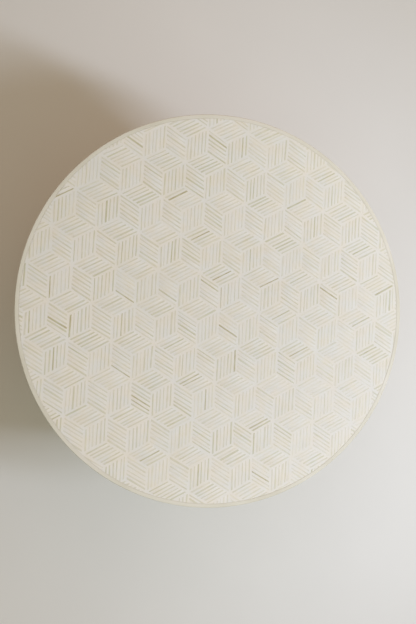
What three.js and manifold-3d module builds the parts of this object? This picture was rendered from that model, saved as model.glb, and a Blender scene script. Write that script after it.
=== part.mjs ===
// Round drum stool with bone inlay: a coopered wooden drum, a board top and an open base,
// clad all over in a thin layer of bone and resin laid as tumbling blocks.
// Millimetres, +Z up, the origin on the floor below the middle of the drum.

import * as THREE from 'three';
import { mergeVertices } from 'three/addons/utils/BufferGeometryUtils.js';
import Module from 'manifold-3d';

const wasm = await Module();
wasm.setup();

// Driving dimensions of the whole stool
const drumDiameter = 400;
const stoolHeight = 450;

// Bone inlay: the cast layer and its pattern of rhombi, three to a block
const inlayThickness = 4;
const blockEdge = 24.55;
const grooveHalfWidth = 1.5;
const grooveDepth = 0.5;
const patternTurn = THREE.MathUtils.degToRad(-3);
const patternShiftX = -21;
const patternShiftY = -11.1;
const rimRound = 0.8;
const footRound = 1.2;

// Wooden drum: staves glued edge to edge over loose splines
const staveCount = 12;
const staveThickness = 18;
const splineThickness = 4;
const splineWidth = 12;

// Board and rings: each ring is mitred up from blocks that are straight inside
const topBoardThickness = 18;
const ringThickness = 18;
const ringWidth = 40;
const ringBlockCount = 6;

// Feet: one under each block of the base ring
const glideDiameter = 30;
const glideHeight = 6;
const glideRound = 1.5;
const glideScrewSink = 1.8;

// Countersunk wood screws: the shank, the cone under the head and the rim round it
const topScrewSink = 0.5;
const topScrew = {
  length: 30, shankRadius: 2, headRadius: 4, headHeight: 2.6, rimHeight: 0.4, tip: 5,
};
const glideScrew = {
  length: 15, shankRadius: 1.75, headRadius: 3.5, headHeight: 2.2, rimHeight: 0.4, tip: 4,
};

// Fits: the glue or running gap between pieces, and how far a cutter runs past a face
const fitGap = 0.3;
const overrun = 2;

// Smoothness of round things, as counts
const discSegments = 80;
const staveSegments = 6;
const screwSegments = 8;
const glideSegments = 16;
const roundSegments = 3;
const easeSegments = 1;

// Radii and levels that follow
const drumRadius = drumDiameter / 2;
const woodRadius = drumRadius - inlayThickness - fitGap;
const staveInside = woodRadius - staveThickness;
const staveHalfAngle = Math.PI / staveCount;
const ringHalfAngle = Math.PI / ringBlockCount;
const ringOutside = staveInside - fitGap;
const ringInside = ringOutside - ringWidth;
const ringMiddle = ringInside + ringWidth / 2;
const boardTop = stoolHeight - inlayThickness - fitGap;
const boardBottom = boardTop - topBoardThickness;
const staveTop = boardBottom - fitGap;
const upperRingBottom = staveTop - ringThickness;

// Finishes
const inlayFinish = { color: 0xddd8cb, roughness: 0.38, metalness: 0 };
const staveFinish = { color: 0xb08a5c, roughness: 0.72, metalness: 0 };
const plywoodFinish = { color: 0xcbb083, roughness: 0.7, metalness: 0 };
const splineFinish = { color: 0xb79c70, roughness: 0.75, metalness: 0 };
const nylonFinish = { color: 0x3a3835, roughness: 0.55, metalness: 0 };
const steelFinish = { color: 0xb9b6ac, roughness: 0.35, metalness: 1 };

const stool = new THREE.Group();

function addPiece(name, geometry, finish) {
  const mesh = new THREE.Mesh(geometry, new THREE.MeshStandardMaterial(finish));
  mesh.name = name;
  stool.add(mesh);
  return mesh;
}

function numbered(name, index) {
  return `${name}_${String(index + 1).padStart(2, '0')}`;
}

function turnedPlace(radius, angle) {
  return new THREE.Vector2(radius * Math.cos(angle), radius * Math.sin(angle));
}

// Shared corners become one, and triangles that this closes up are dropped.
function welded(geometry) {
  const bare = geometry.clone();
  bare.deleteAttribute('normal');
  bare.deleteAttribute('uv');
  const merged = mergeVertices(bare);
  const corners = Array.from(merged.index.array);
  const kept = [];
  for (let first = 0; first < corners.length; first += 3) {
    const [a, b, c] = corners.slice(first, first + 3);
    if (a !== b && b !== c && c !== a) kept.push(a, b, c);
  }
  merged.setIndex(kept);
  return merged;
}

function solidOf(geometry) {
  const { index, attributes } = welded(geometry);
  return new wasm.Manifold(new wasm.Mesh({
    numProp: 3,
    vertProperties: new Float32Array(attributes.position.array),
    triVerts: new Uint32Array(index.array),
  }));
}

function geometryOf(solid) {
  const { vertProperties, triVerts } = solid.getMesh();
  const geometry = new THREE.BufferGeometry();
  geometry.setAttribute('position', new THREE.BufferAttribute(vertProperties, 3));
  geometry.setIndex(new THREE.BufferAttribute(triVerts, 1));
  geometry.computeVertexNormals();
  return geometry;
}

// A turned form about the vertical axis, from its profile of radius and height, lowest first.
// One of its corners lies straight along +X.
function turned(profile, segments) {
  const points = profile.map(([radius, height]) => new THREE.Vector2(radius, height));
  return new THREE.LatheGeometry(points, segments, Math.PI / 2).rotateX(Math.PI / 2);
}

// Points of a round, turned from one angle to another about its centre.
function roundPoints(centreRadius, centreHeight, radius, fromAngle, toAngle, steps) {
  const points = [];
  for (let step = 0; step <= steps; step += 1) {
    const angle = fromAngle + (toAngle - fromAngle) * (step / steps);
    points.push([centreRadius + radius * Math.cos(angle), centreHeight + radius * Math.sin(angle)]);
  }
  return points;
}

// Tumbling blocks. A block is a hexagon of three rhombi that meet at its centre, and the blocks
// stand in rows. Each rhombus has a flat face, and a shallow groove runs along each of its edges,
// widest at the rhombus's two blunt corners and running out at the two sharp ones.
const rowStepShare = 1.5;
const columnStepShare = Math.sqrt(3);
const facesPerBlock = 3;

function blockCorner(centre, edge, degrees) {
  const angle = THREE.MathUtils.degToRad(degrees);
  return new THREE.Vector2(centre.x + edge * Math.cos(angle), centre.y + edge * Math.sin(angle));
}

// The corners of one rhombus in turn: blunt at the block's centre, sharp, blunt and sharp.
function rhombusCorners(centre, edge, face) {
  const turn = 120 * face;
  return [
    centre,
    blockCorner(centre, edge, turn + 30),
    blockCorner(centre, edge, turn + 90),
    blockCorner(centre, edge, turn + 150),
  ];
}

// Where the flat face's corner lies when the groove cuts a blunt corner back along its diagonal.
function cutBack(blunt, opposite) {
  const inward = opposite.clone().sub(blunt).normalize();
  return blunt.clone().addScaledVector(inward, grooveHalfWidth / Math.sin(Math.PI / 3));
}

// The blocks' outer skin as loose triangles. place puts a pattern point and its depth in space.
function blockSkin(centres, edge, place) {
  const positions = [];
  const addTriangle = (...corners) => {
    for (const corner of corners) positions.push(corner.x, corner.y, corner.z);
  };
  const addGroove = (blunt, face, before, after) => {
    addTriangle(before, blunt, face);
    addTriangle(blunt, after, face);
  };
  for (const centre of centres) {
    for (let face = 0; face < facesPerBlock; face += 1) {
      const [near, right, far, left] = rhombusCorners(centre, edge, face);
      const rightTip = place(right, 0);
      const leftTip = place(left, 0);
      const nearFace = place(cutBack(near, far), 0);
      const farFace = place(cutBack(far, near), 0);
      addTriangle(nearFace, rightTip, farFace);
      addTriangle(nearFace, farFace, leftTip);
      addGroove(place(near, grooveDepth), nearFace, leftTip, rightTip);
      addGroove(place(far, grooveDepth), farFace, rightTip, leftTip);
    }
  }
  const skin = new THREE.BufferGeometry();
  skin.setAttribute('position', new THREE.Float32BufferAttribute(positions, 3));
  return skin;
}

// A skin made solid: a copy of it is sunk, turned over and walled to it along the open border.
function thickened(skin, sink) {
  const { index, attributes } = welded(skin);
  const corners = Array.from(index.array);
  const count = attributes.position.count;
  const points = [];
  for (let i = 0; i < count; i += 1) {
    points.push(new THREE.Vector3().fromBufferAttribute(attributes.position, i));
  }
  const solidPoints = points.concat(points.map(sink));
  const triangles = [...corners];
  const edges = new Set();
  for (let first = 0; first < corners.length; first += 3) {
    const [a, b, c] = corners.slice(first, first + 3);
    triangles.push(a + count, c + count, b + count);
    edges.add(`${a} ${b}`).add(`${b} ${c}`).add(`${c} ${a}`);
  }
  for (const edge of edges) {
    const [a, b] = edge.split(' ').map(Number);
    if (!edges.has(`${b} ${a}`)) triangles.push(b, a, a + count, b, a + count, b + count);
  }
  const solid = new THREE.BufferGeometry().setFromPoints(solidPoints);
  solid.setIndex(triangles);
  return solid;
}

// Block centres in rows, every other row moved half a block along.
function blockRows(firstRow, lastRow, firstColumn, lastColumn, edge) {
  const centres = [];
  for (let row = firstRow; row <= lastRow; row += 1) {
    const shift = Math.abs(row % 2) / 2;
    for (let column = firstColumn; column <= lastColumn; column += 1) {
      const along = (column + shift) * columnStepShare * edge;
      centres.push(new THREE.Vector2(along, row * rowStepShare * edge));
    }
  }
  return centres;
}

// Inlay of the top: the pattern is laid slightly turned and off centre, and trimmed round.
function makeTopInlay() {
  const origin = new THREE.Vector2();
  const shift = new THREE.Vector2(patternShiftX, patternShiftY);
  const laid = (point) => point.clone().rotateAround(origin, patternTurn).add(shift);
  const reach = drumRadius + shift.length() + blockEdge;
  const rows = Math.ceil(reach / (rowStepShare * blockEdge));
  const columns = Math.ceil(reach / (columnStepShare * blockEdge));
  const centres = blockRows(-rows, rows, -columns, columns, blockEdge)
    .filter((centre) => laid(centre).length() < woodRadius + blockEdge);
  const place = (point, depth) => {
    const { x, y } = laid(point);
    return new THREE.Vector3(x, y, stoolHeight - depth);
  };
  const skin = blockSkin(centres, blockEdge, place);
  const sheet = thickened(skin, (point) => point.clone().setZ(point.z - inlayThickness * 2));
  const disc = turned([
    [0, stoolHeight - inlayThickness],
    [woodRadius, stoolHeight - inlayThickness],
    [woodRadius, stoolHeight + overrun],
    [0, stoolHeight + overrun],
  ], discSegments);
  addPiece('top_inlay', geometryOf(solidOf(sheet).intersect(solidOf(disc))), inlayFinish);
}

// Inlay of the side: whole blocks round the drum, trimmed to a sleeve with a rounded rim that
// stands up round the top's inlay. Rows are counted down from a row of points at the rim.
function makeSideInlay() {
  const columns = Math.round(Math.PI * drumDiameter / (columnStepShare * blockEdge));
  const edge = Math.PI * drumDiameter / (columns * columnStepShare);
  const height = stoolHeight - glideHeight;
  const rows = Math.ceil(height / (rowStepShare * edge)) + 1;
  const centres = blockRows(-rows, 0, 0, columns - 1, edge);
  const place = (point, depth) => {
    const { x, y } = turnedPlace(drumRadius - depth, point.x / drumRadius);
    return new THREE.Vector3(x, y, stoolHeight + point.y);
  };
  const skin = blockSkin(centres, edge, place);
  const inwardShare = (drumRadius - inlayThickness * 2) / drumRadius;
  const sheet = thickened(skin, (point) => {
    return new THREE.Vector3(point.x * inwardShare, point.y * inwardShare, point.z);
  });
  const steps = columns * 2;
  const inside = (drumRadius - inlayThickness) / Math.cos(Math.PI / steps);
  const quarter = Math.PI / 2;
  const leadAngle = Math.PI / 8;
  const lead = overrun / Math.tan(leadAngle);
  const rimRadius = drumRadius - rimRound;
  const footRadius = drumRadius - footRound;
  const footLevel = glideHeight + footRound;
  const rim = roundPoints(rimRadius, stoolHeight - rimRound, rimRound, leadAngle, quarter, roundSegments);
  const foot = roundPoints(footRadius, footLevel, footRound, -quarter, -leadAngle, easeSegments);
  const [rimFirst] = rim;
  const footLast = foot[foot.length - 1];
  const sleeve = turned([
    [inside, glideHeight],
    ...foot,
    [footLast[0] + overrun, footLast[1] + lead],
    [rimFirst[0] + overrun, rimFirst[1] - lead],
    ...rim,
    [inside, stoolHeight],
    [inside, glideHeight],
  ], steps);
  addPiece('side_inlay', geometryOf(solidOf(sheet).intersect(solidOf(sleeve))), inlayFinish);
}

// A countersunk screw that stands on its head, grown all round by a clearance for its hole.
function screwProfile(screw, clearance, below) {
  const head = screw.headRadius + clearance;
  const shank = screw.shankRadius + clearance;
  return [
    [0, -below],
    [head, -below],
    [head, screw.rimHeight],
    [shank, screw.headHeight],
    [shank, screw.length - screw.tip],
    [clearance, screw.length + clearance],
    [0, screw.length + clearance],
  ];
}

function makeScrew(name, screw, x, y, z) {
  const profile = screwProfile(screw, 0, 0).slice(0, -1);
  addPiece(name, turned(profile, screwSegments), steelFinish).position.set(x, y, z);
}

function screwHole(screw, x, y, z) {
  return solidOf(turned(screwProfile(screw, fitGap, overrun), screwSegments)).translate(x, y, z);
}

const ringTurns = Array.from({ length: ringBlockCount }, (_, index) => 2 * ringHalfAngle * index);
const ringPlaces = ringTurns.map((turn) => turnedPlace(ringMiddle, turn));
const topScrewBottom = upperRingBottom + topScrewSink;

// Top board: a turned disc that sits on the ends of the staves, piloted for the screws.
function makeTopBoard() {
  const disc = turned([
    [0, boardBottom],
    [woodRadius, boardBottom],
    [woodRadius, boardTop],
    [0, boardTop],
  ], discSegments);
  const board = ringPlaces.reduce((left, { x, y }) => {
    return left.subtract(screwHole(topScrew, x, y, topScrewBottom));
  }, solidOf(disc));
  addPiece('top_board', geometryOf(board), plywoodFinish);
}

// Ring blocks: mitred end to end, straight inside and cut outside to the flats of the staves. The
// mitres lie on the middles of staves, so that no joint of a ring meets a joint of the drum.
function ringBlockOutline() {
  const mitreGap = fitGap / 2;
  const innerOut = (ringInside - mitreGap * Math.sin(ringHalfAngle)) / Math.cos(ringHalfAngle);
  const cornerRadius = ringOutside / Math.cos(staveHalfAngle);
  const mitrePoint = (out, side) => {
    const along = turnedPlace(out, ringHalfAngle * side);
    return along.add(turnedPlace(mitreGap, (ringHalfAngle - Math.PI / 2) * side));
  };
  return new THREE.Shape([
    mitrePoint(innerOut, -1),
    mitrePoint(ringOutside, -1),
    turnedPlace(cornerRadius, -staveHalfAngle),
    turnedPlace(cornerRadius, staveHalfAngle),
    mitrePoint(ringOutside, 1),
    mitrePoint(innerOut, 1),
  ]);
}

function makeRing(name, bottom, screw, screwBottom) {
  const options = { depth: ringThickness, bevelEnabled: false };
  const blank = solidOf(new THREE.ExtrudeGeometry(ringBlockOutline(), options));
  const block = blank.subtract(screwHole(screw, ringMiddle, 0, screwBottom - bottom));
  ringTurns.forEach((turn, index) => {
    const mesh = addPiece(numbered(name, index), geometryOf(block), plywoodFinish);
    mesh.rotation.z = turn;
    mesh.position.z = bottom;
  });
}

// Staves: flat inside, turned round outside, with a slot down both edges for the splines.
const staveLength = staveTop - glideHeight;
const innerCornerRadius = (staveInside - fitGap / 2 * Math.sin(staveHalfAngle)) / Math.cos(staveHalfAngle);
const outerCornerRadius = Math.sqrt(woodRadius ** 2 - (fitGap / 2) ** 2);
const splineRadius = (innerCornerRadius + outerCornerRadius) / 2;

// A point on a stave's edge, at a distance out from the middle of the drum and a depth into
// the stave. side is 1 for the left edge and -1 for the right.
function staveEdgePoint(out, depth, side) {
  const angle = staveHalfAngle * side;
  const inset = (fitGap / 2 + depth) * side;
  return new THREE.Vector2(
    out * Math.cos(angle) + inset * Math.sin(angle),
    out * Math.sin(angle) - inset * Math.cos(angle),
  );
}

function staveOutline() {
  const slotHalf = splineThickness / 2 + fitGap;
  const slotDepth = splineWidth / 2 + fitGap / 2;
  const edgeOutward = [
    [innerCornerRadius, 0],
    [splineRadius - slotHalf, 0],
    [splineRadius - slotHalf, slotDepth],
    [splineRadius + slotHalf, slotDepth],
    [splineRadius + slotHalf, 0],
    [outerCornerRadius, 0],
  ];
  const right = edgeOutward.map(([out, depth]) => staveEdgePoint(out, depth, -1));
  const left = edgeOutward.map(([out, depth]) => staveEdgePoint(out, depth, 1)).reverse();
  const arcHalf = left[0].angle();
  const back = [];
  for (let step = 1; step < staveSegments; step += 1) {
    back.push(turnedPlace(woodRadius, arcHalf * (2 * step / staveSegments - 1)));
  }
  return new THREE.Shape([...right, ...back, ...left]);
}

function makeStaves() {
  const options = { depth: staveLength, bevelEnabled: false };
  for (let index = 0; index < staveCount; index += 1) {
    const stave = new THREE.ExtrudeGeometry(staveOutline(), options);
    const turn = 2 * staveHalfAngle * index;
    const staveMesh = addPiece(numbered('stave', index), stave, staveFinish);
    staveMesh.rotation.z = turn;
    staveMesh.position.z = glideHeight;

    const spline = new THREE.BoxGeometry(splineThickness, splineWidth, staveLength);
    spline.translate(splineRadius, 0, staveLength / 2);
    const splineMesh = addPiece(numbered('spline', index), spline, splineFinish);
    splineMesh.rotation.z = turn + staveHalfAngle;
    splineMesh.position.z = glideHeight;
  }
}

// Glides: turned pucks screwed up into the base ring, with the screw sunk clear of the floor.
function makeGlides() {
  const radius = glideDiameter / 2;
  const height = glideHeight - fitGap;
  const foot = roundPoints(radius - glideRound, glideRound, glideRound, -Math.PI / 2, 0, easeSegments);
  const puck = solidOf(turned([[0, 0], ...foot, [radius, height], [0, height]], glideSegments));
  const hole = screwHole(glideScrew, 0, 0, glideScrewSink);
  ringPlaces.forEach(({ x, y }, index) => {
    const glide = geometryOf(puck.subtract(hole));
    addPiece(numbered('glide', index), glide, nylonFinish).position.set(x, y, 0);
    makeScrew(numbered('glide_screw', index), glideScrew, x, y, glideScrewSink);
  });
}

function makeTopScrews() {
  ringPlaces.forEach(({ x, y }, index) => {
    makeScrew(numbered('top_screw', index), topScrew, x, y, topScrewBottom);
  });
}

makeTopInlay();
makeSideInlay();
makeTopBoard();
makeRing('upper_ring_block', upperRingBottom, topScrew, topScrewBottom);
makeRing('base_ring_block', glideHeight, glideScrew, glideScrewSink);
makeStaves();
makeTopScrews();
makeGlides();

export default stool;
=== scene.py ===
# Looks of a round drum stool clad in bone inlay. Metres, +Z up, the frame's own origin.
import math

import bpy
import numpy as np
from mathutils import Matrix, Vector


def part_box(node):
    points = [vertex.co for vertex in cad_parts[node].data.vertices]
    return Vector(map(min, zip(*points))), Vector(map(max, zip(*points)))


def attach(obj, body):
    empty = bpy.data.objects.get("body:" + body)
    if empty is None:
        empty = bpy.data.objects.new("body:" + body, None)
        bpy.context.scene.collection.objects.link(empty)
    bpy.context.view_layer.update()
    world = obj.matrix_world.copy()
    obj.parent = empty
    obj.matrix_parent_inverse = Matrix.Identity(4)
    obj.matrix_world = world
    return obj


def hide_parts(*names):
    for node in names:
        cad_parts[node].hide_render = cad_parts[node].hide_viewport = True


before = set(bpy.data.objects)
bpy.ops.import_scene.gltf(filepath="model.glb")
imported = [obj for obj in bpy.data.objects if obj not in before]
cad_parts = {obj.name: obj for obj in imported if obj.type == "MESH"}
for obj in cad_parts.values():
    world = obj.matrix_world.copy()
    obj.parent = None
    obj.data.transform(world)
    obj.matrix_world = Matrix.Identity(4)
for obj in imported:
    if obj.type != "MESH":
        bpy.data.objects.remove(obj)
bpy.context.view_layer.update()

MM = 0.001

# Sizes read from the frame
top_low, top_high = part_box("top_inlay")
side_low, side_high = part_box("side_inlay")
drum_radius = side_high.x
stool_height = side_high.z
foot_level = side_low.z
top_radius = top_high.x
inlay_thickness = top_high.z - top_low.z
side_inner_radius = drum_radius - inlay_thickness

# Pattern of tumbling blocks, as the frame has it
BLOCK_EDGE = 24.55 * MM
PATTERN_TURN = math.radians(-3)
PATTERN_SHIFT = np.array([-21.0, -11.1]) * MM
ROW_STEP_SHARE = 1.5
COLUMN_STEP_SHARE = math.sqrt(3)
SIDE_COLUMNS = 29
SIDE_PANELS = 6

# Hand-laid look: how far the corners of the rhombi wander
CORNER_WANDER = 0.12 * MM
CORNER_WANDER_MOST = 2 * CORNER_WANDER

# Bone slivers, six to a rhombus
SLIVERS = 6
SLIVER_WIDTH = 1.35 * MM
SLIVER_WIDTH_SPREAD = 0.26 * MM
SLIVER_WIDTH_RANGE = (0.8 * MM, 1.95 * MM)
SLIVER_WANDER = 0.16 * MM
SLIVER_TILT = 0.14 * MM
SLIVER_END = 1.4 * MM
SLIVER_END_SPREAD = 0.3 * MM
SLIVER_END_MOST = 2 * SLIVER_END_SPREAD
SLIVER_CHAMFER = 0.12 * MM
RESIN_DEPTH = 0.08 * MM
BONE_DEPTH_MOST = 0.03 * MM
BORDER = 0.45 * MM
BORDER_STEPS = 4

# How brown the slivers are, from 0 to 1: each rhombus leans its own way, and a few are brown
RHOMBUS_TONE_SPREAD = 0.09
TONE_SHAPE = (2.2, 3.8)
TONE_MOST = 0.66
BROWN_SHARE = 0.04
BROWN_TONES = (0.68, 0.95)

# Grid of a rhombus. Its rows are the border and four lines for each sliver, two at either side.
# Its columns are the border, the slivers' end and the foot of their chamfer at either end, and
# some more between.
RHOMBUS_HEIGHT_SHARE = math.sin(math.radians(60))
SLIVER_LINES = 4
GRID_ROWS = 2 + SLIVER_LINES * SLIVERS
END_COLUMNS = 6
TOP_MID_COLUMNS = 1
SIDE_MID_COLUMNS = 3

# Edges of the inlay
RIM_ROUND = 0.8 * MM
RIM_STEPS = 6
FOOT_ROUND = 1.2 * MM
FOOT_STEPS = 4
ARRIS = 0.15 * MM
PATTERN_MARGIN = 0.1 * MM
SEAM_SINK = 0.05 * MM
SEAM_DEPTH = 0.5 * MM
SEAM_CLEARANCE = 0.05 * MM
SEAM_SPREAD = 0.02 * MM

# Room round the pieces in their maps
TOP_MAP_ROOM = 1.02
SIDE_MAP_MARGIN = 4 * MM
SIDE_MAP_BACK = 6 * MM
SIDE_MAP_TURN_IN = 8 * MM

# Places closer together than these are the same one
SAME_CORNER = 0.01 * MM
SAME_POINT = 0.002 * MM
SAME_RHOMBUS = 4 * MM
ON_SEAM = 0.001 * MM
ON_EDGE = 0.0001 * MM

# Edges that turn by more than this are sharp
INLAY_SHARP = math.radians(18)
HARDWARE_SHARP = math.radians(35)

rng = np.random.default_rng(20)


def add_object(name, data):
    made = bpy.data.objects.new(name, data)
    bpy.context.scene.collection.objects.link(made)
    return made


# Skin of the inlay: a flat sheet of rhombi, each with a border of resin and six slivers.
# A sheet's points are rows of x, y, depth, along and across, the last two in the sliver's frame.
def block_rhombi(rows, columns, edge):
    """Corners of every rhombus, (count, 4, 2): near, right, far, left. Slivers run to the right."""
    corners = []
    for row in rows:
        for column in columns:
            centre = np.array([
                (column + (row % 2) / 2) * COLUMN_STEP_SHARE * edge,
                row * ROW_STEP_SHARE * edge,
            ])
            for face in range(3):
                turns = np.radians([30, 90, 150]) + math.radians(120 * face)
                others = centre + edge * np.column_stack([np.cos(turns), np.sin(turns)])
                corners.append(np.vstack([centre, others]))
    return np.array(corners)


def wandered(corners, wrap=None):
    """The same corners, each moved a little, and alike in every rhombus that shares it."""
    flat = corners.reshape(-1, 2)
    keys = flat.copy()
    if wrap:
        keys[:, 0] %= wrap
        keys[np.abs(keys[:, 0] - wrap) < ON_SEAM, 0] = 0
    keys = np.round(keys / SAME_CORNER).astype(int)
    _, index = np.unique(keys, axis=0, return_inverse=True)
    moves = rng.normal(0, CORNER_WANDER, (index.max() + 1, 2))
    moves = moves.clip(-CORNER_WANDER_MOST, CORNER_WANDER_MOST)
    return (flat + moves[index.ravel()]).reshape(corners.shape)


def zipped(outer, inner):
    """Triangles between two rows of points that run the same way, the inner one on the left."""
    faces, a, b = [], 0, 0
    last_a, last_b = len(outer) - 1, len(inner) - 1
    while a < last_a or b < last_b:
        if b == last_b or (a < last_a and (a + 1) / last_a <= (b + 1) / last_b):
            faces.append((outer[a], outer[a + 1], inner[b]))
            a += 1
        else:
            faces.append((outer[a], inner[b + 1], inner[b]))
            b += 1
    return faces


def rhombus_faces(mid_columns):
    """Faces of one rhombus over its grid and its border loop, and each face's sliver or -1."""
    rows, columns = GRID_ROWS, END_COLUMNS + mid_columns
    faces, slivers = [], []
    for i in range(rows - 1):
        for j in range(columns - 1):
            at = i * columns + j
            faces.append((at, at + 1, at + columns + 1, at + columns))
            sliver, line = divmod(i - 1, SLIVER_LINES)
            bone = i > 0 and line < SLIVER_LINES - 1 and 0 < j < columns - 2
            slivers.append(sliver if bone else -1)
    loop = [rows * columns + q for q in range(4 * BORDER_STEPS)] + [rows * columns]
    grid = np.arange(rows * columns).reshape(rows, columns)
    inner_sides = [grid[0], grid[:, -1], grid[-1][::-1], grid[:, 0][::-1]]
    for side, inner in enumerate(inner_sides):
        outer = loop[side * BORDER_STEPS:(side + 1) * BORDER_STEPS + 1]
        added = zipped(outer, [int(v) for v in inner])
        faces += added
        slivers += [-1] * len(added)
    return faces, slivers


def sliver_layout(count, edge):
    """Seeded places and sizes of all slivers: (count, SLIVERS) arrays, as shares of a rhombus."""
    height = edge * RHOMBUS_HEIGHT_SHARE
    shape = (count, SLIVERS)
    middle = (np.arange(SLIVERS) + 0.5) / SLIVERS + rng.normal(0, SLIVER_WANDER, shape) / height
    width = rng.normal(SLIVER_WIDTH, SLIVER_WIDTH_SPREAD, shape).clip(*SLIVER_WIDTH_RANGE) / height
    tilt = rng.normal(0, SLIVER_TILT, shape) / height
    longer = rng.normal(0, SLIVER_END_SPREAD, (2, *shape)).clip(-SLIVER_END_MOST, SLIVER_END_MOST)
    ends = (SLIVER_END + longer) / edge
    depth = rng.uniform(0, BONE_DEPTH_MOST, shape)
    return {"middle": middle, "width": width, "tilt": tilt, "ends": ends, "depth": depth}


def sheet_points(corners, layout, edge, mid_columns):
    """Points of every rhombus, (count, points, 5): its grid, row by row, then its border loop."""
    count = len(corners)
    height = edge * RHOMBUS_HEIGHT_SHARE
    chamfer_u, chamfer_v = SLIVER_CHAMFER / edge, SLIVER_CHAMFER / height
    border_u, border_v = BORDER / edge, BORDER / height
    grid_shape = (count, GRID_ROWS, END_COLUMNS + mid_columns)
    u, v, across = np.zeros(grid_shape), np.zeros(grid_shape), np.zeros(grid_shape)
    depth = np.full(grid_shape, RESIN_DEPTH)

    def across_line(start, end):
        inside = np.linspace(0, 1, mid_columns + 2)[None, :]
        stretch = start[:, None] + chamfer_u + (end - start - 2 * chamfer_u)[:, None] * inside
        near_border, far_border = np.full((count, 1), border_u), np.full((count, 1), 1 - border_u)
        edges = [near_border, start[:, None], stretch, end[:, None], far_border]
        return np.concatenate(edges, axis=1)

    nominal = np.full(count, SLIVER_END / edge)
    u[:, 0] = u[:, -1] = across_line(nominal, 1 - nominal)
    v[:, 0] = border_v
    v[:, -1] = 1 - border_v
    for k in range(SLIVERS):
        start, end = layout["ends"][0][:, k], 1 - layout["ends"][1][:, k]
        line = across_line(start, end)
        for step, (side, inset) in enumerate(((-1, 0), (-1, 1), (1, 1), (1, 0))):
            i = 1 + SLIVER_LINES * k + step
            half = side * (layout["width"][:, k, None] / 2 - inset * chamfer_v)
            lean = layout["tilt"][:, k, None] * (line - 0.5) * 2
            u[:, i] = line
            v[:, i] = layout["middle"][:, k, None] + half + lean
            across[:, i] = half * height
            if inset:
                depth[:, i, 2:-2] = layout["depth"][:, k, None]
    steps = np.arange(BORDER_STEPS) / BORDER_STEPS
    zero, one = np.zeros(BORDER_STEPS), np.ones(BORDER_STEPS)
    loop_u = np.concatenate([steps, one, 1 - steps, zero])
    loop_v = np.concatenate([zero, steps, one, 1 - steps])

    def joined(grid, loop):
        loops = np.broadcast_to(loop, (count, len(loop)))
        return np.concatenate([grid.reshape(count, -1), loops], axis=1)[..., None]

    u, v = joined(u, loop_u), joined(v, loop_v)
    depth = joined(depth, np.full(4 * BORDER_STEPS, RESIN_DEPTH))
    across = joined(across, np.zeros(4 * BORDER_STEPS))
    near, right, far, left = (corners[:, n, None, :] for n in range(4))
    flat = near * (1 - u) * (1 - v) + right * u * (1 - v) + far * u * v + left * (1 - u) * v
    return np.concatenate([flat, depth, u * edge, across], axis=2)


class Sheet:
    """Points, faces and each face's sliver, which trimming changes."""

    def __init__(self, points, template, numbers):
        """From each rhombus's points, a rhombus's faces and slivers, and each rhombus's number."""
        faces, slivers = template
        offsets = np.arange(len(points)) * points.shape[1]
        flat = points.reshape(-1, points.shape[2])
        keys = np.round(flat[:, :2] / SAME_POINT).astype(np.int64)
        _, first, index = np.unique(keys, axis=0, return_index=True, return_inverse=True)
        index = index.ravel()
        self.points = [tuple(p) for p in flat[first]]
        self.faces, self.slivers = [], []
        for number, offset in zip(numbers, offsets):
            for face, sliver in zip(faces, slivers):
                self.faces.append(tuple(index[offset + v] for v in face))
                self.slivers.append(-1 if sliver < 0 else number * SLIVERS + sliver)

    def trim(self, inside):
        """Keeps where inside(points), one value a point, is over zero."""
        values = inside(np.array(self.points))
        cuts, faces, slivers = {}, [], []

        def cut(a, b):
            key = (min(a, b), max(a, b))
            if key not in cuts:
                share = values[a] / (values[a] - values[b])
                pa, pb = np.array(self.points[a]), np.array(self.points[b])
                self.points.append(tuple(pa + (pb - pa) * share))
                cuts[key] = len(self.points) - 1
            return cuts[key]

        for face, sliver in zip(self.faces, self.slivers):
            kept = [values[v] > 0 for v in face]
            if all(kept):
                faces.append(face)
                slivers.append(sliver)
            elif any(kept):
                outline = []
                for n, v in enumerate(face):
                    following = face[(n + 1) % len(face)]
                    if values[v] > 0:
                        outline.append(v)
                    if (values[v] > 0) != (values[following] > 0):
                        outline.append(cut(v, following))
                if len(outline) > 2:
                    faces.append(tuple(outline))
                    slivers.append(sliver)
        self.faces, self.slivers = faces, slivers

    def border(self):
        """The sheet's one open edge, as its points in turn, counterclockwise."""
        directed = {(face[n - 1], face[n]) for face in self.faces for n in range(len(face))}
        following = {a: b for a, b in directed if (b, a) not in directed}
        start = min(following)
        loop = [start]
        while following[loop[-1]] != start:
            loop.append(following[loop[-1]])
        return loop


RESIN, BONE, RIM, SEAM = range(4)


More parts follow.
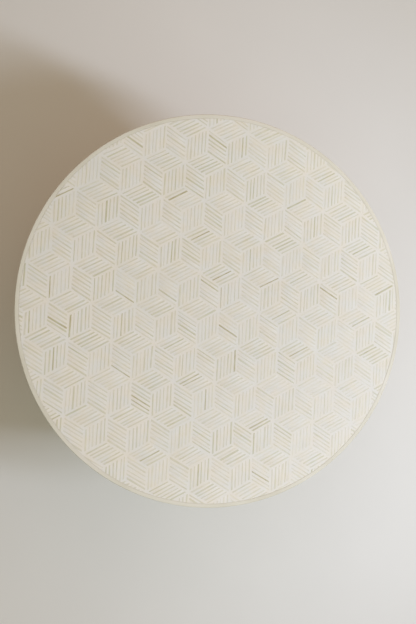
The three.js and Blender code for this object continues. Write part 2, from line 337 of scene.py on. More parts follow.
class Shell:
    """A piece's mesh as it is put together: places, faces, and each face's material and sliver."""

    def __init__(self):
        self.places, self.maps, self.grains = [], [], []
        self.faces, self.materials, self.slivers = [], [], []

    def add_point(self, place, spot, grain=(0.0, 0.0)):
        self.places.append(tuple(place))
        self.maps.append(tuple(spot))
        self.grains.append(tuple(grain))
        return len(self.places) - 1

    def add_face(self, face, material, sliver=-1):
        self.faces.append(tuple(face))
        self.materials.append(material)
        self.slivers.append(sliver)

    def add_sheet(self, sheet, put):
        """Takes in a sheet, with put(x, y, depth, grain) for each point, and returns its points."""
        placed = {}
        for face, sliver in zip(sheet.faces, sheet.slivers):
            for v in face:
                if v not in placed:
                    x, y, depth, along, across = sheet.points[v]
                    placed[v] = put(x, y, depth, (along, across))
            self.add_face([placed[v] for v in face], RESIN if sliver < 0 else BONE, sliver)
        return placed

    def add_band(self, lower, upper, material, closed=False):
        """Quads between two rows of points that run the same way, the upper one on the left."""
        count = len(lower)
        for n in range(count if closed else count - 1):
            m = (n + 1) % count
            self.add_face((lower[n], lower[m], upper[m], upper[n]), material)

    def build(self, name, slots, tones):
        """The object, with its two maps, its materials and its slivers' tones."""
        mesh = bpy.data.meshes.new(name)
        mesh.from_pydata(self.places, [], self.faces)
        for slot in slots:
            mesh.materials.append(slot)
        mesh.polygons.foreach_set("material_index", np.array(self.materials, np.int32))
        corners = np.zeros(len(mesh.loops), np.int32)
        mesh.loops.foreach_get("vertex_index", corners)
        for title, values in (("OFBake", self.maps), ("Grain", self.grains)):
            layer = mesh.uv_layers.new(name=title)
            layer.data.foreach_set("uv", np.array(values, np.float32)[corners].ravel())
        slivers = np.array(self.slivers)
        for title, values in tones.items():
            attribute = mesh.attributes.new(title, "FLOAT", "FACE")
            of_face = np.where(slivers < 0, 0.0, values[slivers]).astype(np.float32)
            attribute.data.foreach_set("value", of_face)
        mesh.polygons.foreach_set("use_smooth", np.ones(len(mesh.polygons), bool))
        mesh.set_sharp_from_angle(angle=INLAY_SHARP)
        mesh.validate()
        return add_object(name, mesh)


def sliver_tones(count):
    """Seeded looks of each sliver: how brown it is, and a number of chance for grain and hue."""
    group = np.repeat(rng.normal(0, RHOMBUS_TONE_SPREAD, count), SLIVERS)
    tone = rng.beta(*TONE_SHAPE, count * SLIVERS) * TONE_MOST + group
    brown = rng.random(count * SLIVERS) < BROWN_SHARE
    tone[brown] = rng.uniform(*BROWN_TONES, brown.sum())
    return {"tone": tone.clip(0, 1), "chance": rng.random(count * SLIVERS)}


def make_top(slots):
    """The top's cladding: the pattern, cut round, and the seam and edge that hem it."""
    edge = BLOCK_EDGE
    reach = drum_radius + float(np.linalg.norm(PATTERN_SHIFT)) + edge
    rows = math.ceil(reach / (ROW_STEP_SHARE * edge))
    columns = math.ceil(reach / (COLUMN_STEP_SHARE * edge))
    corners = block_rhombi(range(-rows, rows + 1), range(-columns, columns + 1), edge)
    cosine, sine = math.cos(PATTERN_TURN), math.sin(PATTERN_TURN)
    turn = np.array([[cosine, -sine], [sine, cosine]])
    corners = wandered(corners @ turn.T + PATTERN_SHIFT)
    corners = corners[np.linalg.norm(corners, axis=2).min(axis=1) < top_radius]
    points = sheet_points(corners, sliver_layout(len(corners), edge), edge, TOP_MID_COLUMNS)
    sheet = Sheet(points, rhombus_faces(TOP_MID_COLUMNS), range(len(corners)))
    pattern_radius = top_radius - ARRIS - PATTERN_MARGIN
    sheet.trim(lambda p: pattern_radius - np.hypot(p[:, 0], p[:, 1]))

    shell = Shell()
    map_width = 2 * top_radius * TOP_MAP_ROOM

    def put(x, y, z, grain=(0, 0)):
        return shell.add_point((x, y, z), (0.5 + x / map_width, 0.5 + y / map_width), grain)

    placed = shell.add_sheet(
        sheet, lambda x, y, depth, grain: put(x, y, stool_height - depth, grain))
    ring = [placed[v] for v in sheet.border()]
    seam_radius = side_inner_radius - SEAM_CLEARANCE
    surface = stool_height - RESIN_DEPTH
    profile = [
        (top_radius - ARRIS, surface, RESIN),
        (top_radius, surface - ARRIS / 2, RIM),
        (top_radius + SEAM_SPREAD, surface - SEAM_SINK, SEAM),
        (seam_radius, surface - SEAM_SINK, SEAM),
        (seam_radius, surface - SEAM_DEPTH, SEAM),
        (top_radius, surface - SEAM_DEPTH, SEAM),
        (top_radius, stool_height - inlay_thickness, RIM),
    ]
    for radius, z, material in profile:
        outer = []
        for v in ring:
            x, y, _ = shell.places[v]
            scale = radius / math.hypot(x, y)
            outer.append(put(x * scale, y * scale, z))
        shell.add_band(outer, ring, material, closed=True)
        ring = outer
    shell.add_face(ring[::-1], RIM)
    return shell.build("top_inlay_skin", slots, sliver_tones(len(corners)))


def quarter_round(radius, level, inward, onward, steps):
    """Places, as radius and level, of a quarter round that starts upright, without the first."""
    turns = [math.pi / 2 * step / steps for step in range(1, steps + 1)]
    return [(radius - inward * (1 - math.cos(turn)), level + onward * math.sin(turn))
            for turn in turns]


def make_side_panels(slots):
    """The side's cladding: the pattern wrapped round the drum, in panels that meet edge to edge."""
    around = 2 * math.pi * drum_radius
    edge = around / (SIDE_COLUMNS * COLUMN_STEP_SHARE)
    rows = math.ceil((stool_height - foot_level) / (ROW_STEP_SHARE * edge)) + 1
    corners = block_rhombi(range(-rows, 1), range(-1, SIDE_COLUMNS + 1), edge)
    corners[:, :, 1] += stool_height
    corners = wandered(corners, wrap=around)
    # Rhombi that come round again share the looks of the ones they repeat
    home = corners.mean(axis=1)
    home[:, 0] %= around
    keys = np.round(home / SAME_RHOMBUS).astype(int)
    _, first, numbers = np.unique(keys, axis=0, return_index=True, return_inverse=True)
    numbers = numbers.ravel()
    own = sliver_layout(len(first), edge)
    layout = {key: value[..., numbers, :] for key, value in own.items()}
    tones = sliver_tones(len(first))
    points = sheet_points(corners, layout, edge, SIDE_MID_COLUMNS)
    template = rhombus_faces(SIDE_MID_COLUMNS)

    low, high = foot_level + FOOT_ROUND, stool_height - RIM_ROUND
    skin_radius = drum_radius - RESIN_DEPTH
    inner, brim = side_inner_radius, stool_height - RESIN_DEPTH
    rim = quarter_round(skin_radius, high, RIM_ROUND, RIM_ROUND - RESIN_DEPTH, RIM_STEPS)
    rim += [(inner + ARRIS, brim), (inner, brim - ARRIS)]
    foot = quarter_round(skin_radius, low, FOOT_ROUND, -FOOT_ROUND, FOOT_STEPS)
    foot += [(inner + ARRIS, foot_level), (inner, foot_level + ARRIS)]

    panels = []
    width = around / SIDE_PANELS
    for panel in range(SIDE_PANELS):
        x0, x1 = width * panel, width * (panel + 1)
        x, y = corners[:, :, 0], corners[:, :, 1]
        touching = (x.max(axis=1) > x0) & (x.min(axis=1) < x1)
        touching &= (y.max(axis=1) > low) & (y.min(axis=1) < high)
        sheet = Sheet(points[touching], template, numbers[touching])
        sheet.trim(lambda p: p[:, 0] - x0)
        sheet.trim(lambda p: x1 - p[:, 0])
        sheet.trim(lambda p: p[:, 1] - low)
        sheet.trim(lambda p: high - p[:, 1])
        shell = panel_shell(sheet, x0, x1, low, high, rim, foot)
        panels.append(shell.build(f"side_inlay_skin_{panel + 1:02d}", slots, tones))
    return panels


def panel_shell(sheet, x0, x1, low, high, rim, foot):
    """A panel bent round the drum, closed by the rim, the foot, its back and its two ends."""
    shell = Shell()
    map_width = x1 - x0 + 2 * SIDE_MAP_MARGIN
    map_height = high - low + 4 * SIDE_MAP_MARGIN + SIDE_MAP_BACK + 2 * SIDE_MAP_TURN_IN

    def put(x, radius, z, y, grain=(0, 0)):
        angle = x / drum_radius
        spot = ((x - x0 + SIDE_MAP_MARGIN) / map_width,
                (y - low + 2 * SIDE_MAP_MARGIN + SIDE_MAP_TURN_IN) / map_height)
        return shell.add_point((radius * math.cos(angle), radius * math.sin(angle), z), spot, grain)

    placed = shell.add_sheet(
        sheet, lambda x, y, depth, grain: put(x, drum_radius - depth, y, y, grain))
    loop = sheet.border()

    def chain(axis, value):
        on = [v for v in loop if abs(sheet.points[v][axis] - value) < ON_EDGE]
        return sorted(on, key=lambda v: sheet.points[v][1 - axis])

    def rows_from(edge, profile, y, sign):
        rows = [[placed[v] for v in edge]]
        radius, z = drum_radius - RESIN_DEPTH, y
        for next_radius, next_z in profile:
            y += sign * math.hypot(next_radius - radius, next_z - z)
            radius, z = next_radius, next_z
            rows.append([put(sheet.points[v][0], radius, z, y) for v in edge])
        return rows

    rim_rows = rows_from(chain(1, high), rim, high, 1)
    foot_rows = rows_from(chain(1, low), foot, low, -1)
    for lower, upper in zip(rim_rows, rim_rows[1:]):
        shell.add_band(lower, upper, RIM)
    for upper, lower in zip(foot_rows, foot_rows[1:]):
        shell.add_band(lower, upper, RIM)
    for face in zipped(rim_rows[-1], foot_rows[-1]):
        shell.add_face(face, RIM)
    right_end, left_end = (
        [row[n] for row in foot_rows[:0:-1]] + [placed[v] for v in chain(0, x)]
        + [row[n] for row in rim_rows[1:]]
        for n, x in ((-1, x1), (0, x0))
    )
    shell.add_face(right_end[::-1], RIM)
    shell.add_face(left_end, RIM)
    return shell


def hardware_mesh(name, points, faces, marks, map_size, material):
    """A smooth mesh whose map has each face's corners at its marks, columns and rows of a grid."""
    mesh = bpy.data.meshes.new(name)
    mesh.from_pydata(points, [], faces)
    layer = mesh.uv_layers.new(name="OFBake")
    flat = np.array([mark for face in marks for mark in face], np.float32)
    layer.data.foreach_set("uv", (flat / map_size).astype(np.float32).ravel())
    mesh.polygons.foreach_set("use_smooth", np.ones(len(mesh.polygons), bool))
    mesh.set_sharp_from_angle(angle=HARDWARE_SHARP)
    mesh.materials.append(material)
    return mesh


# Countersunk screws with a cross recess and a thread, each standing on its head. The recess is in
# shares of the head's radius, its point in shares of its depth, and the root of the thread in
# shares of the shank's radius.
SCREW_COUNT = 6
HEAD_SHARE = 0.97
HEAD_RIM = 0.4 * MM
HEAD_EASE = 0.15 * MM
RECESS_ARM = 0.56
RECESS_HALF_WIDTH = 0.13
RECESS_DEPTH = 0.4
RECESS_TAPER = 0.5
RECESS_POINT = 1.2
THREAD_ROOT = 0.72
THREAD_ROWS = 6
THREAD_SLOPE = 3.2
SCREW_TURN_STEPS = 32
SCREWS = {
    "top_screw": {"shank": 2.0 * MM, "cone": 2.6 * MM, "tip": 5 * MM, "pitch": 1.8 * MM},
    "glide_screw": {"shank": 1.75 * MM, "cone": 2.2 * MM, "tip": 4 * MM, "pitch": 1.6 * MM},
}


def cross_radius(turn):
    """Reach of a cross with arms of length 1, in the direction of a turn."""
    aside = abs((turn + math.pi / 4) % (math.pi / 2) - math.pi / 4)
    end = 1 / math.cos(aside)
    half_width = RECESS_HALF_WIDTH / RECESS_ARM
    return min(end, half_width / math.sin(aside)) if aside > 0 else end


def screw_rings(head, length, shank, cone, tip, pitch):
    """Rings of a screw from its recess to its tip: each a level and a radius for every turn."""
    corner = math.atan2(RECESS_HALF_WIDTH, RECESS_ARM)
    turns = {2 * math.pi * k / SCREW_TURN_STEPS for k in range(SCREW_TURN_STEPS)}
    turns |= {quarter * math.pi / 2 + side * corner for quarter in range(4) for side in (-1, 1)}
    turns = sorted({round(turn % (2 * math.pi), 5) for turn in turns})
    cross = [head * RECESS_ARM * cross_radius(turn) for turn in turns]
    rings = [(RECESS_DEPTH * head, [radius * RECESS_TAPER for radius in cross]), (0, cross)]
    for radius, level in ((head - HEAD_EASE, 0), (head, HEAD_EASE), (head, HEAD_RIM),
                          (shank * THREAD_ROOT, cone)):
        rings.append((level, [radius] * len(turns)))
    level, step = cone, pitch / THREAD_ROWS
    while level + step < length:
        level += step
        taper = min(1.0, (length - level) / tip)
        starting = min(1.0, (level - cone) / pitch)
        radii = []
        for turn in turns:
            phase = (level / pitch - turn / (2 * math.pi)) % 1.0
            crest = max(0.0, 1 - abs(phase - 0.5) * THREAD_SLOPE) * starting
            radii.append(taper * shank * (THREAD_ROOT + (1 - THREAD_ROOT) * crest))
        rings.append((level, radii))
    return turns, rings


def make_screw(node, kind, material):
    """A screw in its node's box, ring by ring from the point of its recess to its tip."""
    low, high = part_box(node)
    middle = (low + high) / 2
    head = (high.x - low.x) / 2 * HEAD_SHARE
    length = high.z - low.z
    turns, rings = screw_rings(head, length, **SCREWS[kind])
    around = len(turns)
    points = [(0, 0, RECESS_DEPTH * head * RECESS_POINT)]
    for level, radii in rings:
        points += [(r * math.cos(t), r * math.sin(t), level) for t, r in zip(turns, radii)]
    points.append((0, 0, length))
    faces, marks = [], []
    for k in range(around):
        after = (k + 1) % around
        faces.append((0, 1 + after, 1 + k))
        marks.append([(k + 0.5, 0), (k + 1, 1), (k, 1)])
        for ring in range(len(rings) - 1):
            at = 1 + ring * around
            faces.append((at + k, at + after, at + around + after, at + around + k))
            marks.append([(k, ring + 1), (k + 1, ring + 1), (k + 1, ring + 2), (k, ring + 2)])
        at = 1 + (len(rings) - 1) * around
        faces.append((at + k, at + after, len(points) - 1))
        marks.append([(k, len(rings)), (k + 1, len(rings)), (k + 0.5, len(rings) + 1)])
    places = [(middle.x + x, middle.y + y, low.z + z) for x, y, z in points]
    map_size = (around, len(rings) + 1)
    mesh = hardware_mesh(f"{node}_skin", places, faces, marks, map_size, material)
    piece = add_object(mesh.name, mesh)
    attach(piece, "root")
    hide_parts(node)


# Glides: turned pucks, eased at the foot and bored for their screws
GLIDE_COUNT = 6
GLIDE_TURN_STEPS = 64
GLIDE_ROUND = 1.5 * MM
GLIDE_ROUND_STEPS = 6
GLIDE_ARRIS = 0.25 * MM
GLIDE_BORE = 2.05 * MM
GLIDE_SINK = 3.8 * MM
GLIDE_SINK_LEVELS = (2.2 * MM, 4.0 * MM)


def make_glide(node, material):
    """A glide in its node's box, its profile turned round its middle."""
    low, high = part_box(node)
    middle = (low + high) / 2
    radius, height = (high.x - low.x) / 2, high.z - low.z
    profile = [
        (GLIDE_BORE, height), (GLIDE_BORE, GLIDE_SINK_LEVELS[1]),
        (GLIDE_SINK, GLIDE_SINK_LEVELS[0]), (GLIDE_SINK, GLIDE_ARRIS),
        (GLIDE_SINK + GLIDE_ARRIS, 0),
    ]
    for step in range(GLIDE_ROUND_STEPS + 1):
        turn = math.pi / 2 * step / GLIDE_ROUND_STEPS
        inset, level = GLIDE_ROUND * (1 - math.sin(turn)), GLIDE_ROUND * (1 - math.cos(turn))
        profile.append((radius - inset, level))
    profile += [(radius, height - GLIDE_ARRIS), (radius - GLIDE_ARRIS, height)]
    count = len(profile)
    points, faces, marks = [], [], []
    for k in range(GLIDE_TURN_STEPS):
        turn = 2 * math.pi * k / GLIDE_TURN_STEPS
        cosine, sine = math.cos(turn), math.sin(turn)
        points += [(middle.x + r * cosine, middle.y + r * sine, low.z + z) for r, z in profile]
        here, after = k * count, (k + 1) % GLIDE_TURN_STEPS * count
        for row in range(count):
            onward = (row + 1) % count
            faces.append((here + row, after + row, after + onward, here + onward))
            marks.append([(k, row), (k + 1, row), (k + 1, row + 1), (k, row + 1)])
    map_size = (GLIDE_TURN_STEPS, count)
    mesh = hardware_mesh(f"{node}_skin", points, faces, marks, map_size, material)
    piece = add_object(mesh.name, mesh)
    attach(piece, "root")
    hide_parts(node)


# Splines: all twelve in one piece, since glue and staves hide them
SPLINE_HALF_THICKNESS = 2 * MM
SPLINE_HALF_WIDTH = 6 * MM
SPLINE_EASE = 0.5 * MM
SPLINE_COUNT = 12
SPLINE_NODES = [f"spline_{number:02d}" for number in range(1, SPLINE_COUNT + 1)]


def make_splines(material):
    """Eased strips, each in its node's box and facing out of the drum."""
    thick, wide, ease = SPLINE_HALF_THICKNESS, SPLINE_HALF_WIDTH, SPLINE_EASE
    outline = [
        (thick, wide - ease), (thick - ease, wide), (ease - thick, wide), (-thick, wide - ease),
        (-thick, ease - wide), (ease - thick, -wide), (thick - ease, -wide), (thick, ease - wide),
    ]
    count = len(outline)
    points, faces = [], []
    for name in SPLINE_NODES:
        low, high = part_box(name)
        middle = (low + high) / 2
        out = Vector((middle.x, middle.y, 0)).normalized()
        side = Vector((-out.y, out.x, 0))
        start = len(points)
        levels = [(low.z, ease), (low.z + ease, 0), (high.z - ease, 0), (high.z, ease)]
        for level, shrink in levels:
            for across, along in outline:
                across -= math.copysign(shrink, across)
                along -= math.copysign(shrink, along)
                points.append(Vector((middle.x, middle.y, level)) + out * across + side * along)
        last = start + (len(levels) - 1) * count
        faces.append([start + k for k in range(count)][::-1])
        faces.append([last + k for k in range(count)])
        for at in range(start, last, count):
            for k in range(count):
                after = (k + 1) % count
                faces.append((at + k, at + after, at + count + after, at + count + k))
    mesh = bpy.data.meshes.new("splines_skin")
    mesh.from_pydata(points, [], faces)
    mesh.materials.append(material)
    piece = add_object(mesh.name, mesh)
    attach(piece, "root")
    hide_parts(*SPLINE_NODES)


# Materials
def linear(r, g, b):
    """A display colour of 0 to 255 as the linear colour that shaders take."""
    def one(c):
        c /= 255
        return c / 12.92 if c <= 0.04045 else ((c + 0.055) / 1.055) ** 2.4
    return (one(r), one(g), one(b), 1.0)


class Graph:
    """A node tree under construction: nodes by short calls."""

    def __init__(self, tree):
        self.tree = tree

    def feed(self, socket, value):
        """Links the socket to another one, or sets it to a constant."""
        if isinstance(value, bpy.types.NodeSocket):
            self.tree.links.new(value, socket)
        else:
            socket.default_value = value

    def node(self, kind, values=None, **settings):
        made = self.tree.nodes.new("ShaderNode" + kind)
        for key, value in settings.items():
            setattr(made, key, value)
        for key, value in (values or {}).items():
            self.feed(made.inputs[key], value)
        return made

    def math(self, operation, *values):
        return self.node("Math", dict(enumerate(values)), operation=operation).outputs[0]

    def split(self, vector):
        return self.node("SeparateXYZ", {0: vector}).outputs

    def vector(self, x, y, z):
        return self.node("CombineXYZ", {0: x, 1: y, 2: z}).outputs[0]

    def looked_at(self):
        """1 for the camera's rays and for those that shine or glass send on, 0 for the rest."""
        path = self.node("LightPath").outputs
        sent_on = self.math("MAXIMUM", path["Is Glossy Ray"], path["Is Transmission Ray"])
        return self.math("MAXIMUM", path["Is Camera Ray"], sent_on)


class Finish(Graph):
    """A material under construction."""

    def __init__(self, name):
        self.material = bpy.data.materials.new(name)
        self.material.use_nodes = True
        super().__init__(self.material.node_tree)
        self.shader = self.tree.nodes["Principled BSDF"]

    def place(self):
        return self.node("TexCoord").outputs["Object"]

    def stretched(self, vector, scale):
        return self.node("Mapping", {"Vector": vector, "Scale": scale}).outputs["Vector"]

    def noise(self, vector, scale, detail, roughness=0.5):
        values = {"Vector": vector, "Scale": scale, "Detail": detail, "Roughness": roughness}
        return self.node("TexNoise", values).outputs[0]

    def mapped(self, value, low, high, to_low=0.0, to_high=1.0):
        return self.node("MapRange", {
            "Value": value, "From Min": low, "From Max": high, "To Min": to_low, "To Max": to_high,
        }).outputs["Result"]

    def ramp(self, value, stops):
        made = self.node("ValToRGB", {0: value})
        elements = made.color_ramp.elements
        while len(elements) < len(stops):
            elements.new(0.5)
        for element, (place, colour) in zip(elements, stops):
            element.position = place
            element.color = colour
        return made.outputs["Color"]

    def mix(self, share, a, b, blend="MIX"):
        values = {0: share, 6: a, 7: b}
        return self.node("Mix", values, data_type="RGBA", blend_type=blend).outputs[2]

    def set(self, **inputs):
        for key, value in inputs.items():
            self.feed(self.shader.inputs[key.replace("_", " ")], value)

    def bump(self, height, distance, strength):
        made = self.node("Bump", {"Height": height, "Distance": distance, "Strength": strength})
        self.set(Normal=made.outputs["Normal"])


def tinted(f, colour):
    """The colour with faint patches a finger wide, creamy here and bluish there."""
    tint = f.ramp(f.noise(f.place(), 85, 2), [
        (0.34, (0.997, 0.976, 0.938, 1.0)),
        (0.50, (0.99, 0.988, 0.985, 1.0)),
        (0.66, (0.972, 0.99, 1.015, 1.0)),
    ])
    return f.mix(1.0, colour, tint, "MULTIPLY")


def resin_finish():
    f = Finish("white_resin")
    place = f.place()
    cloud = f.noise(place, 18, 3)
    speck = f.noise(place, 420, 2)
    colour = f.ramp(cloud, [
        (0.30, linear(209, 202, 188)), (0.50, linear(212, 204, 190)), (0.70, linear(214, 206, 193)),
    ])
    colour = f.mix(f.mapped(speck, 0.55, 0.8, 0, 0.25), colour, linear(196, 187, 168))
    f.set(Base_Color=tinted(f, colour), Roughness=f.mapped(cloud, 0.3, 0.7, 0.48, 0.58))
    f.bump(f.noise(place, 900, 3), 0.02 * MM, 0.5)
    return f.material


GRAIN_SHIFT = 37.0


def bone_finish():
    """Bone: each sliver has its own tone and its own stretch of fibres and pores."""
    f = Finish("bone_slivers")
    tone = f.node("Attribute", attribute_name="tone").outputs["Fac"]
    chance = f.node("Attribute", attribute_name="chance").outputs["Fac"]
    along, across, _ = f.split(f.node("UVMap", uv_map="Grain").outputs["UV"])
    grain = f.vector(along, across, f.math("MULTIPLY", chance, GRAIN_SHIFT))
    slow = f.noise(f.stretched(grain, (90, 250, 1)), 1, 2)
    fibre = f.noise(f.stretched(grain, (120, 4200, 3)), 1, 3, 0.6)
    pores = f.noise(f.stretched(grain, (900, 5200, 5)), 1, 2)
    drift = f.mapped(slow, 0.3, 0.7, -0.16, 0.16)
    streak = f.mapped(fibre, 0.25, 0.75, -0.1, 0.1)
    total = f.math("ADD", f.math("ADD", tone, drift), streak)
    colour = f.ramp(total, [
        (0.00, linear(207, 199, 181)),
        (0.25, linear(200, 192, 171)),
        (0.50, linear(192, 185, 159)),
        (0.75, linear(183, 176, 146)),
        (1.00, linear(167, 155, 119)),
    ])
    colour = f.mix(f.mapped(pores, 0.62, 0.8, 0, 0.3), colour, linear(172, 157, 119))
    colour = f.mix(f.mapped(chance, 0.4, 1, 0, 1), colour, (0.995, 1.0, 0.965, 1.0), "MULTIPLY")
    f.set(Base_Color=tinted(f, colour), Roughness=f.mapped(fibre, 0.2, 0.8, 0.42, 0.54))
    f.bump(fibre, 0.03 * MM, 0.4)
    return f.material


def rim_finish():
    f = Finish("rim_resin")
    place = f.place()
    patch = f.noise(place, 26, 3)
    colour = f.ramp(patch, [
        (0.30, linear(197, 188, 167)), (0.50, linear(203, 195, 175)), (0.70, linear(207, 198, 181)),
    ])
    f.set(Base_Color=colour, Roughness=f.mapped(patch, 0.3, 0.7, 0.58, 0.48))
    f.bump(f.noise(place, 700, 3), 0.03 * MM, 0.5)
    return f.material


def seam_finish():
    f = Finish("seam_filler")
    place = f.place()
    colour = f.ramp(f.noise(place, 60, 4, 0.6), [
        (0.30, linear(181, 170, 146)), (0.50, linear(193, 183, 162)), (0.70, linear(200, 191, 172)),
    ])
    f.set(Base_Color=colour, Roughness=0.62)
    f.bump(f.noise(place, 1500, 3), 0.05 * MM, 0.6)
    return f.material


STAVE_TURN = math.radians(30)
STAVE_SHIFT = 7.0
PITH_RADIUS = 0.12
PITH_ASIDE = 0.05
RING_FREQUENCY = 1500.0
RING_WANDER = 26.0


def stave_finish():
    """Solid wood: growth rings about a pith behind each stave, so that flats show long grain."""
    f = Finish("stave_wood")
    x, y, z = f.split(f.place())
    number = f.math("ROUND", f.math("DIVIDE", f.math("ARCTAN2", y, x), STAVE_TURN))
    own = f.node("TexWhiteNoise", {"W": number}, noise_dimensions="1D").outputs["Value"]
    centre = f.math("MULTIPLY", number, STAVE_TURN)
    cosine, sine = f.math("COSINE", centre), f.math("SINE", centre)
    out = f.math("ADD", f.math("MULTIPLY", x, cosine), f.math("MULTIPLY", y, sine))
    aside = f.math("SUBTRACT", f.math("MULTIPLY", y, cosine), f.math("MULTIPLY", x, sine))
    local = f.vector(out, aside, f.math("ADD", z, f.math("MULTIPLY", own, STAVE_SHIFT)))
    wander = f.noise(f.stretched(local, (14, 14, 2.2)), 1, 2)
    pith = f.math("ADD", f.math("MULTIPLY", own, PITH_ASIDE), -PITH_ASIDE / 2)
    across = f.math("ADD", aside, pith)
    deep = f.math("SUBTRACT", out, PITH_RADIUS)
    squares = f.math("ADD", f.math("MULTIPLY", across, across), f.math("MULTIPLY", deep, deep))
    rings = f.math("MULTIPLY", f.math("SQRT", squares), RING_FREQUENCY)
    wave = f.math("SINE", f.math("ADD", rings, f.math("MULTIPLY", wander, RING_WANDER)))
    fibre = f.noise(f.stretched(local, (900, 900, 16)), 1, 3, 0.6)
    shade = f.math("ADD", f.mapped(wave, -1, 1, 0, 0.55), f.math("MULTIPLY", fibre, 0.45))
    colour = f.ramp(shade, [
        (0.15, linear(150, 112, 70)), (0.45, linear(178, 140, 94)), (0.80, linear(200, 164, 116)),
    ])
    colour = f.mix(f.math("MULTIPLY", own, 0.35), colour, linear(168, 124, 78))
    f.set(Base_Color=colour, Roughness=0.62)
    return f.material


PLY_THICKNESS = 1.4 * MM
PLY_SHIFT = 0.37
PLY_ALONG = 14.0
PLY_ACROSS = 620.0


def ply_finish(name):
    """Plywood: thin plies stacked along Z, with the grain turned in every other one."""
    f = Finish(name)
    x, y, z = f.split(f.place())
    plies = f.math("DIVIDE", z, PLY_THICKNESS)
    ply = f.math("FLOOR", plies)
    odd = f.math("MODULO", ply, 2.0)
    layer = f.math("MULTIPLY", ply, PLY_SHIFT)
    grains = []
    for x_scale, y_scale in ((PLY_ALONG, PLY_ACROSS), (PLY_ACROSS, PLY_ALONG)):
        drawn = f.vector(f.math("MULTIPLY", x, x_scale), f.math("MULTIPLY", y, y_scale), layer)
        grains.append(f.noise(drawn, 1, 4, 0.6))
    even = f.math("SUBTRACT", 1.0, odd)
    grain = f.math("ADD", f.math("MULTIPLY", grains[0], odd), f.math("MULTIPLY", grains[1], even))
    colour = f.ramp(grain, [
        (0.30, linear(186, 156, 112)), (0.50, linear(206, 180, 138)), (0.70, linear(220, 198, 160)),
    ])
    # Edges of the plies: every other ply shows its end grain, with a dark line of glue between
    glue = f.math("ABSOLUTE", f.math("SUBTRACT", f.math("FRACT", plies), 0.5))
    normal_z = f.split(f.node("NewGeometry").outputs["Normal"])[2]
    upright = f.math("SUBTRACT", 1.0, f.math("ABSOLUTE", normal_z))
    dark = f.math("MULTIPLY", f.math("MULTIPLY", odd, upright), 0.5)
    line = f.math("MULTIPLY", f.mapped(glue, 0.42, 0.5), upright)
    colour = f.mix(f.math("ADD", dark, f.math("MULTIPLY", line, 0.4)), colour, linear(150, 112, 72))
    f.set(Base_Color=colour, Roughness=0.66)
    f.bump(grain, 0.08 * MM, 0.35)
    return f.material


def nylon_finish():
    f = Finish("glide_nylon")
    place = f.place()
    cloud = f.noise(place, 300, 3)
    scuff = f.noise(f.stretched(place, (900, 260, 400)), 1, 3, 0.7)
    colour = f.ramp(cloud, [(0.3, linear(50, 48, 46)), (0.7, linear(64, 62, 59))])
    colour = f.mix(f.mapped(scuff, 0.58, 0.75, 0, 0.35), colour, linear(104, 101, 96))
    f.set(Base_Color=colour, Roughness=f.mapped(cloud, 0.3, 0.7, 0.42, 0.6))
    f.bump(cloud, 0.05 * MM, 0.4)
    return f.material


def steel_finish():
    f = Finish("screw_steel")
    cloud = f.noise(f.place(), 500, 3)
    colour = f.ramp(cloud, [(0.3, linear(150, 148, 140)), (0.7, linear(192, 190, 182))])
    f.set(Base_Color=colour, Metallic=1.0, Roughness=f.mapped(cloud, 0.3, 0.7, 0.3, 0.45))
    f.bump(cloud, 0.02 * MM, 0.3)
    return f.material


inlay_slots = [resin_finish(), bone_finish(), rim_finish(), seam_finish()]
top_skin = make_top(inlay_slots)
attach(top_skin, "root")
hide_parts("top_inlay")
for panel in make_side_panels(inlay_slots):
    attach(panel, "root")
    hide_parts("side_inlay")

steel = steel_finish()
for kind in SCREWS:
    for number in range(1, SCREW_COUNT + 1):
        make_screw(f"{kind}_{number:02d}", kind, steel)
nylon = nylon_finish()
for number in range(1, GLIDE_COUNT + 1):
    make_glide(f"glide_{number:02d}", nylon)
make_splines(ply_finish("spline_plywood"))

# Finishes of the pieces that keep the frame's own meshes, by the start of their names
kept_finishes = {
    "stave_": stave_finish(),
    "top_board": ply_finish("birch_plywood"),
    "upper_ring_block_": ply_finish("upper_ring_plywood"),
    "base_ring_block_": ply_finish("base_ring_plywood"),
}
for name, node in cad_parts.items():
    for start, finish in kept_finishes.items():
        if name.startswith(start):
            node.data.materials.clear()
            node.data.materials.append(finish)


# Stage: a plain pale floor, seen from above only, that ends in an even backdrop of its own tone.
# Under the drum the room's light comes up through it, so that the underside shows from below.
BACKDROP = linear(205, 202, 197)
FLOOR_HALF = 6.0
BACKDROP_FROM = 0.9
BACKDROP_FULL = 1.8
UNDER_DRUM = 0.178


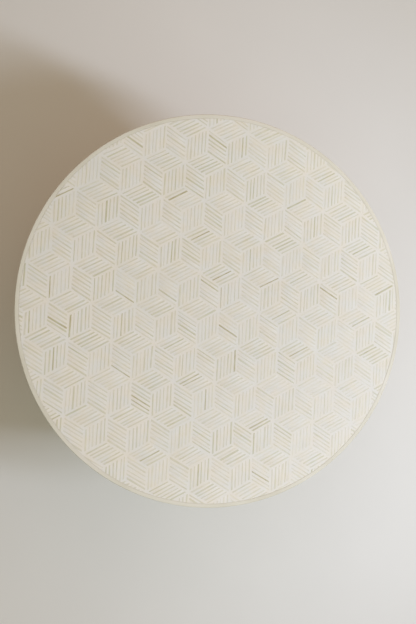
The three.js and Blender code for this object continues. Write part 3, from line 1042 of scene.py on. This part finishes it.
def make_floor():
    mesh = bpy.data.meshes.new("floor")
    half = FLOOR_HALF
    corners = [(-half, -half, 0), (half, -half, 0), (half, half, 0), (-half, half, 0)]
    mesh.from_pydata(corners, [], [(0, 1, 2, 3)])
    f = Finish("floor_paint")
    cloud = f.noise(f.place(), 3, 3)
    paint = f.ramp(cloud, [(0.3, linear(225, 222, 217)), (0.7, linear(229, 226, 221))])
    f.set(Base_Color=paint, Roughness=0.9)
    away = f.node("VectorMath", {0: f.place()}, operation="LENGTH").outputs["Value"]
    far = f.math("MULTIPLY", f.mapped(away, BACKDROP_FROM, BACKDROP_FULL), f.looked_at())
    plain = f.node("Emission", {"Color": BACKDROP, "Strength": 1.0}).outputs[0]
    seen = f.node("MixShader", {0: far, 1: f.shader.outputs[0], 2: plain}).outputs[0]
    camera_ray = f.node("LightPath").outputs["Is Camera Ray"]
    under = f.math("LESS_THAN", away, UNDER_DRUM)
    unseen = f.math("MULTIPLY", under, f.math("SUBTRACT", 1.0, camera_ray))
    see_through = f.math("MAXIMUM", f.node("NewGeometry").outputs["Backfacing"], unseen)
    clear = f.node("BsdfTransparent").outputs[0]
    one_sided = f.node("MixShader", {0: see_through, 1: seen, 2: clear}).outputs[0]
    f.feed(f.tree.nodes["Material Output"].inputs["Surface"], one_sided)
    mesh.materials.append(f.material)
    floor = add_object("floor", mesh)


make_floor()

# Camera above the left half of the top and leaning to the right, as the perspective of the
# photograph's pattern shows: the focal length in pixels of a frame 624 tall, and its place
FRAME_TALL_PIXELS = 624
FOCAL_PIXELS = 682.5
SHIFT_PIXELS = 0.5
SENSOR = 36.0
CAMERA_PLACE = (-0.14406, -0.00838, 1.1289)
CAMERA_TURN = (0.0093, -0.1953, 0.0026)
camera_data = bpy.data.cameras.new("camera")
camera_data.sensor_width = SENSOR
camera_data.lens = SENSOR * FOCAL_PIXELS / FRAME_TALL_PIXELS
camera_data.shift_x = -SHIFT_PIXELS / FRAME_TALL_PIXELS
camera_data.shift_y = SHIFT_PIXELS / FRAME_TALL_PIXELS
camera = add_object("camera", camera_data)
camera.location = CAMERA_PLACE
camera.rotation_mode = "ZXY"
camera.rotation_euler = CAMERA_TURN
bpy.context.scene.camera = camera

# Light: a soft level tube above and to the right, cool, in a warm room
LAMP_MIDDLE = Vector((0.433, -0.175, 1.17))
LAMP_REACH = Vector((-0.225, 0.092, 0.0))
LAMP_PARTS = 5
LAMP_RADIUS = 0.038
LAMP_POWER = 39.2
LAMP_COLOUR = (0.725, 0.826, 1.0)
LAMP_CONE = math.radians(160)
LAMP_CONE_BLEND = 0.3
# Where its light goes: bells round directions from straight below, as the two slopes of each
# direction, its spread and its level
LAMP_POOLS = [
    (0.0, 0.0, 9.0, 0.509),
    (0.03, 0.04, 0.5, 0.726),
    (-0.275, 0.59, 0.3, 0.324),
    (-0.275, -0.29, 0.3, 0.109),
    (-0.55, 0.25, 0.35, -0.200),
    (-0.30, 0.20, 0.30, -0.470),
    (-0.80, 0.25, 0.35, 0.470),
    (-0.35, 0.10, 0.22, -0.342),
]


def make_lamp():
    for part in range(LAMP_PARTS):
        data = bpy.data.lights.new(f"lamp_{part + 1}", "SPOT")
        data.energy = LAMP_POWER / LAMP_PARTS
        data.color = LAMP_COLOUR
        data.shadow_soft_size = LAMP_RADIUS
        data.spot_size = LAMP_CONE
        data.spot_blend = LAMP_CONE_BLEND
        data.use_nodes = True
        g = Graph(data.node_tree)
        x, y, z = g.split(g.node("TexCoord").outputs["Normal"])
        down = g.math("MULTIPLY", z, -1.0)
        slope_x, slope_y = g.math("DIVIDE", x, down), g.math("DIVIDE", y, down)
        level = 0.0
        for middle_x, middle_y, spread, share in LAMP_POOLS:
            aside_x = g.math("SUBTRACT", slope_x, middle_x)
            aside_y = g.math("SUBTRACT", slope_y, middle_y)
            square = g.math("MULTIPLY_ADD", aside_x, aside_x, g.math("MULTIPLY", aside_y, aside_y))
            bell = g.math("EXPONENT", g.math("MULTIPLY", square, -1 / (2 * spread ** 2)))
            level = g.math("MULTIPLY_ADD", bell, share, level)
        strength = data.node_tree.nodes["Emission"].inputs["Strength"]
        g.feed(strength, g.math("MAXIMUM", level, 0.0))
        lamp = add_object(data.name, data)
        reach = (2 * part + 1) / LAMP_PARTS - 1
        lamp.location = LAMP_MIDDLE + LAMP_REACH * reach


# The room's glow: warm, stronger from the east and weaker from overhead
ROOM_COLOUR = (0.727, 0.659, 0.553)
ROOM_NORTH = (0.060, -0.114, -0.138)
ROOM_EAST = (0.301, 0.279, 0.234)
ROOM_ABOVE = (-0.386, -0.373, -0.355)


def make_room():
    world = bpy.data.worlds.new("room")
    world.use_nodes = True
    g = Graph(world.node_tree)
    glow = world.node_tree.nodes["Background"]
    x, y, z = g.split(g.node("TexCoord").outputs["Generated"])
    total = ROOM_COLOUR
    for part, colour in ((x, ROOM_EAST), (y, ROOM_NORTH), (g.math("ABSOLUTE", z), ROOM_ABOVE)):
        values = {0: g.vector(part, part, part), 1: colour, 2: total}
        total = g.node("VectorMath", values, operation="MULTIPLY_ADD").outputs[0]
    g.feed(glow.inputs["Color"], total)
    seen = g.node("Background", {"Color": BACKDROP}).outputs[0]
    choice = g.node("MixShader", {0: g.looked_at(), 1: glow.outputs[0], 2: seen}).outputs[0]
    g.feed(world.node_tree.nodes["World Output"].inputs["Surface"], choice)
    bpy.context.scene.world = world


make_lamp()
make_room()

bpy.context.scene.view_settings.view_transform = "Standard"
